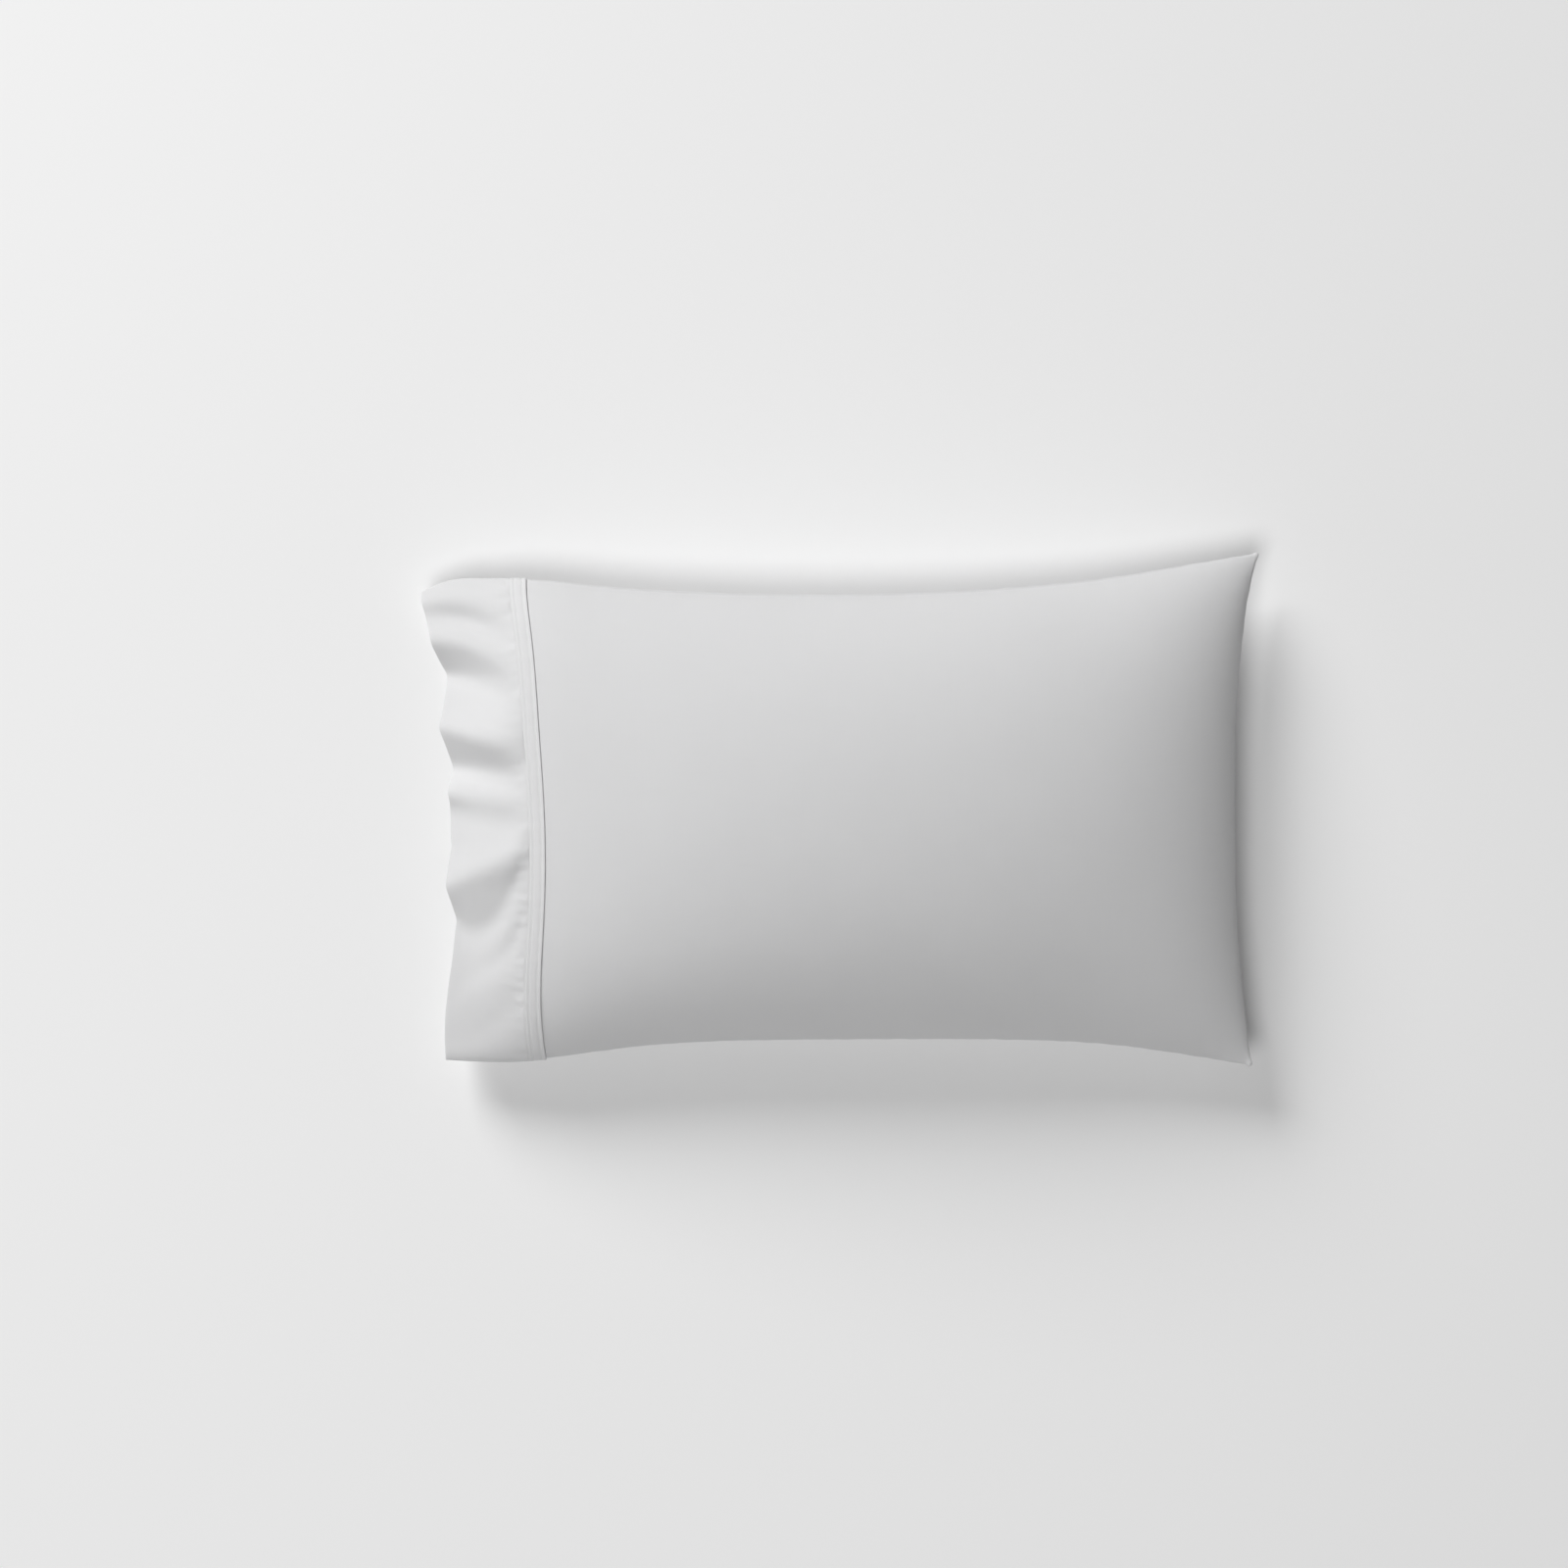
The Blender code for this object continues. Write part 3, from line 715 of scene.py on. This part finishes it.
# ---- The rows of stitching -----------------------------------------------------------------------------
# Three rows of white cotton lockstitch go right round the cuff: one along its turned edge, and two side by
# side that catch the case's raw edge between the cuff's layers. Each row lies in a little groove drawn into
# the cloth.

STITCH_PITCH = 2.6
STITCH_LENGTH = 2.1
STITCH_WIDTH = 0.42
STITCH_PROUD = 0.08  # how far the middle of a stitch stands out of the cloth
STITCH_ASKEW = 0.07  # how far a stitch may be turned from its row, in radians
STITCH_SEED = 5
STITCH_SIDES = 8
STITCH_RINGS = 5
PLY_FINENESS = 4000.0  # the twist's lumps in a metre
PLY_HEIGHT = 0.00006  # in metres
# the thread's own white, and a darker copy of it that is painted shade in the low places of the twist
PLY_PAINTED_SHADE = (0.7812, 0.7812, 0.7812)
PLY_WHITE = (0.84, 0.84, 0.84)
THREAD_ROUGHNESS = 0.7
THREAD_SHEEN = 0.2


def row_path(distance):
    """A closed line round the cuff's outer face at this distance from its stitched edge, and its way out."""
    from_edge = cloth_lengths(outer_base, 0) / MM
    face = outer_points + outer_out * (CLOTH / 2 + STITCH_PROUD)

    def at_distance(values):
        found = []
        for lengths, column in zip(from_edge.T, values.swapaxes(0, 1)):
            found.append([np.interp(distance, lengths, part) for part in column.T])
        return np.array(found)

    return at_distance(face), at_distance(outer_out)


def stitch_tree(thread):
    """Lays a stitch at even steps along a line, flat on the cloth and nearly in line with its row."""
    tree = bpy.data.node_groups.new("stitch_row", "GeometryNodeTree")
    face = tree.interface
    face.new_socket("Rows", in_out="INPUT", socket_type="NodeSocketGeometry")
    for label in ("Pitch", "Length", "Width"):
        face.new_socket(label, in_out="INPUT", socket_type="NodeSocketFloat")
    face.new_socket("Seed", in_out="INPUT", socket_type="NodeSocketInt")
    face.new_socket("Stitches", in_out="OUTPUT", socket_type="NodeSocketGeometry")
    add = Shade(tree).node
    given = {socket.name: Shade(tree, socket) for socket in tree.nodes.new("NodeGroupInput").outputs}

    line = add("GeometryNodeMeshToCurve", {}, {"Mesh": given["Rows"]})
    even_steps = {"Curve": line, "Length": given["Pitch"]}
    even = add("GeometryNodeResampleCurve", {"mode": "LENGTH"}, even_steps)
    out = add("GeometryNodeInputNamedAttribute", {"data_type": "FLOAT_VECTOR"}, {"Name": "out"})
    tangent = add("GeometryNodeInputTangent", {}, {})
    upright = add("FunctionNodeAlignRotationToVector", {"axis": "Z"}, {"Vector": out})
    row_way = {"Rotation": upright, "Vector": tangent}
    in_line = add("FunctionNodeAlignRotationToVector", {"axis": "X", "pivot_axis": "Z"}, row_way)
    either_way = {0: (0, 0, -STITCH_ASKEW), 1: (0, 0, STITCH_ASKEW), "Seed": given["Seed"]}
    askew = add("FunctionNodeRandomValue", {"data_type": "FLOAT_VECTOR"}, either_way)
    turn = add("FunctionNodeRotateRotation", {"rotation_space": "LOCAL"}, {0: in_line, 1: askew})
    round_ball = {"Segments": STITCH_SIDES, "Rings": STITCH_RINGS, "Radius": 0.5}
    ball = add("GeometryNodeMeshUVSphere", {}, round_ball)
    sizes = add("ShaderNodeCombineXYZ", {}, {0: given["Length"], 1: given["Width"], 2: given["Width"]})
    stitches = {"Points": even, "Instance": ball, "Rotation": turn, "Scale": sizes}
    placed = add("GeometryNodeInstanceOnPoints", {}, stitches)
    real = add("GeometryNodeRealizeInstances", {}, {"Geometry": placed})
    smooth = add("GeometryNodeSetShadeSmooth", {}, {"Geometry": real})
    painted = add("GeometryNodeSetMaterial", {}, {"Geometry": smooth, "Material": thread})
    tree.links.new(painted.socket, tree.nodes.new("NodeGroupOutput").inputs["Stitches"])
    return tree


def cotton_thread(name):
    """Two-ply cotton: a faint twist along each stitch, as bumps, with painted shade darkening its low places.
    """
    material = bpy.data.materials.new(name)
    material.use_nodes = True
    tree = material.node_tree
    surface = tree.nodes["Principled BSDF"]
    surface.inputs["Roughness"].default_value = THREAD_ROUGHNESS
    surface.inputs["Sheen Weight"].default_value = THREAD_SHEEN
    place = Shade(tree).node("ShaderNodeTexCoord", {}, {}, "Object")
    twist_and_painted_shade = place.node("ShaderNodeTexNoise", {}, {"Vector": place, "Scale": PLY_FINENESS, "Detail": 1.0})
    bump = place.node("ShaderNodeBump", {}, {"Height": twist_and_painted_shade * PLY_HEIGHT, "Distance": 1.0})
    # painted shade: the thread's colour goes darker where the twist's bumps are low
    tree.links.new(blend(twist_and_painted_shade, PLY_PAINTED_SHADE, PLY_WHITE).socket, surface.inputs["Base Color"])
    tree.links.new(bump.socket, surface.inputs["Normal"])
    return material


row_points = []
row_out = []
row_edges = []
for row in STITCH_ROWS:
    points, out = row_path(row)
    first = len(row_points)
    row_points += (points * MM).tolist()
    row_out += out.tolist()
    row_edges += [(first + i, first + (i + 1) % len(points)) for i in range(len(points))]
row_mesh = bpy.data.meshes.new("stitch_rows")
row_mesh.from_pydata(row_points, row_edges, [])
row_mesh.attributes.new("out", "FLOAT_VECTOR", "POINT").data.foreach_set("vector", np.ravel(row_out))
rows = bpy.data.objects.new("stitch_rows", row_mesh)
bpy.context.scene.collection.objects.link(rows)
sewing = rows.modifiers.new("sewing", "NODES")
sewing.node_group = stitch_tree(cotton_thread("white_thread"))
inputs = {
    "Pitch": STITCH_PITCH * MM,
    "Length": STITCH_LENGTH * MM,
    "Width": STITCH_WIDTH * MM,
    "Seed": STITCH_SEED,
}
for item in sewing.node_group.interface.items_tree:
    if item.in_out == "INPUT" and item.name in inputs:
        sewing[item.identifier] = inputs[item.name]
bpy.context.view_layer.update()
sewn = bpy.data.meshes.new_from_object(rows.evaluated_get(bpy.context.evaluated_depsgraph_get()))
rows.modifiers.remove(sewing)
rows.data = sewn
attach(rows, "root")

# ---- The studio ----------------------------------------------------------------------------------------
# A plain pale floor in a dim room, with two big soft lights some way off: the main one low beyond the upper
# long edge, and a weaker, higher one across from it. The camera looks straight down.

PIXEL = 0.000955  # metres across one pixel of the picture, at the height of the side seams
PICTURE_WIDTH = 1600  # in pixels, as are the next two
CENTRE_LEFT = 57  # the picture's centre is this far left of the case's origin
CENTRE_UP = 26  # and this far above it
SEAM_LEVEL = 0.062
CAMERA_HEIGHT = 3.0  # above the side seams
SENSOR = 36.0
FLOOR_HALF = 6.0
FLOOR_WHITE = (0.96, 0.96, 0.96)
FLOOR_ROUGHNESS = 0.95
FLOOR_SPECULAR = 0.1
ROOM_LIGHT = 0.1

floor_mesh = bpy.data.meshes.new("floor")
corners = [(x * FLOOR_HALF, y * FLOOR_HALF, 0) for x, y in ((-1, -1), (1, -1), (1, 1), (-1, 1))]
floor_mesh.from_pydata(corners, [], [(0, 1, 2, 3)])
paint = bpy.data.materials.new("floor_paint")
paint.use_nodes = True
paint_inputs = paint.node_tree.nodes["Principled BSDF"].inputs
paint_inputs["Base Color"].default_value = (*FLOOR_WHITE, 1)
paint_inputs["Roughness"].default_value = FLOOR_ROUGHNESS
paint_inputs["Specular IOR Level"].default_value = FLOOR_SPECULAR
floor_mesh.materials.append(paint)
floor = bpy.data.objects.new("floor", floor_mesh)
bpy.context.scene.collection.objects.link(floor)

room = bpy.data.worlds.new("room")
room.use_nodes = True
room_inputs = room.node_tree.nodes["Background"].inputs
room_inputs["Color"].default_value = (1, 1, 1, 1)
room_inputs["Strength"].default_value = ROOM_LIGHT
bpy.context.scene.world = room

LIGHT_DISTANCE = 9.0
LIGHT_SIZE = 4.5


def soft_light(name, azimuth, height, energy):
    """A round soft light that faces the case from this many degrees round from +X and up from the floor."""
    lamp = bpy.data.lights.new(name, "AREA")
    lamp.shape = "DISK"
    lamp.size = LIGHT_SIZE
    lamp.energy = energy
    obj = bpy.data.objects.new(name, lamp)
    toward = Euler((0, -np.radians(height), np.radians(azimuth))).to_matrix() @ Vector((1, 0, 0))
    obj.location = toward * LIGHT_DISTANCE
    obj.rotation_euler = (-toward).to_track_quat("-Z", "Y").to_euler()
    bpy.context.scene.collection.objects.link(obj)


soft_light("main", azimuth=125, height=28, energy=610)
soft_light("high", azimuth=235, height=68, energy=340)

lens = bpy.data.cameras.new("camera")
lens.sensor_width = SENSOR
lens.lens = SENSOR * CAMERA_HEIGHT / (PICTURE_WIDTH * PIXEL)
camera = bpy.data.objects.new("camera", lens)
camera.location = (-CENTRE_LEFT * PIXEL, CENTRE_UP * PIXEL, SEAM_LEVEL + CAMERA_HEIGHT)
bpy.context.scene.collection.objects.link(camera)
bpy.context.scene.camera = camera
bpy.context.scene.view_settings.view_transform = "Standard"
